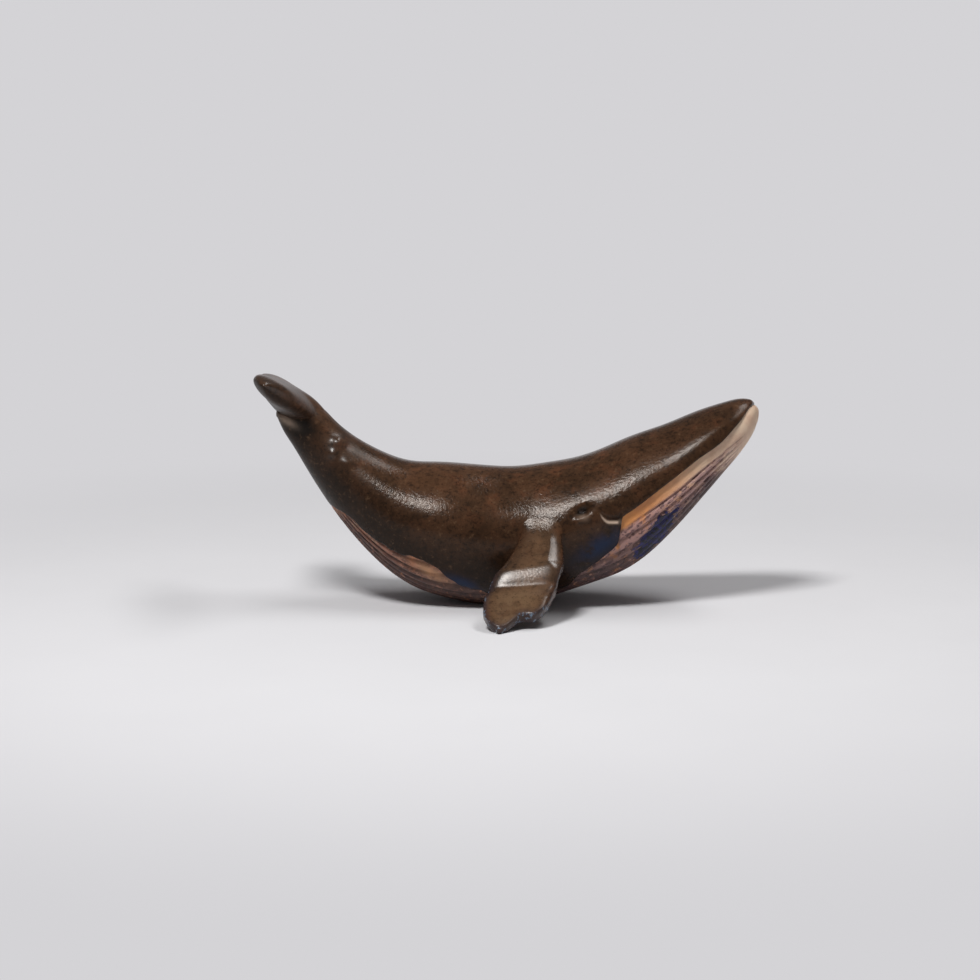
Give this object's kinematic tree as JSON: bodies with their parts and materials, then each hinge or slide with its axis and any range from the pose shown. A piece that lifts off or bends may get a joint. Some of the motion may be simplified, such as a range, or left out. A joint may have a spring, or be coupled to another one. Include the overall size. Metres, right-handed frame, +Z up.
{
  "type": "whale figurine",
  "caption": "Hand-built ceramic whale ornament with raised head and tail, pleated pale throat and belly, drooping flippers and tail flukes; stands on a small flat under its belly.",
  "frame": {"origin": "on the surface that the figurine stands on, under the middle of its length and width", "axes": "+X towards the head, +Y towards the whale's left side, +Z up"},
  "size_m": [0.1191, 0.0786, 0.0548],
  "materials": {
    "dark_glaze": "satin dark brown glaze with fine pits",
    "bare_clay": "bare pale clay with brown oxide in the grooves and a few cobalt-blue patches",
    "eye_glaze": "glossy near-black glaze"
  },
  "bodies": {
    "root": {"back_shell": "dark_glaze", "belly_plate": "bare_clay", "right_flipper": "dark_glaze", "left_flipper": "dark_glaze", "right_fluke": "dark_glaze", "left_fluke": "dark_glaze", "right_eye": "eye_glaze", "left_eye": "eye_glaze"}
  },
  "joints": []
}
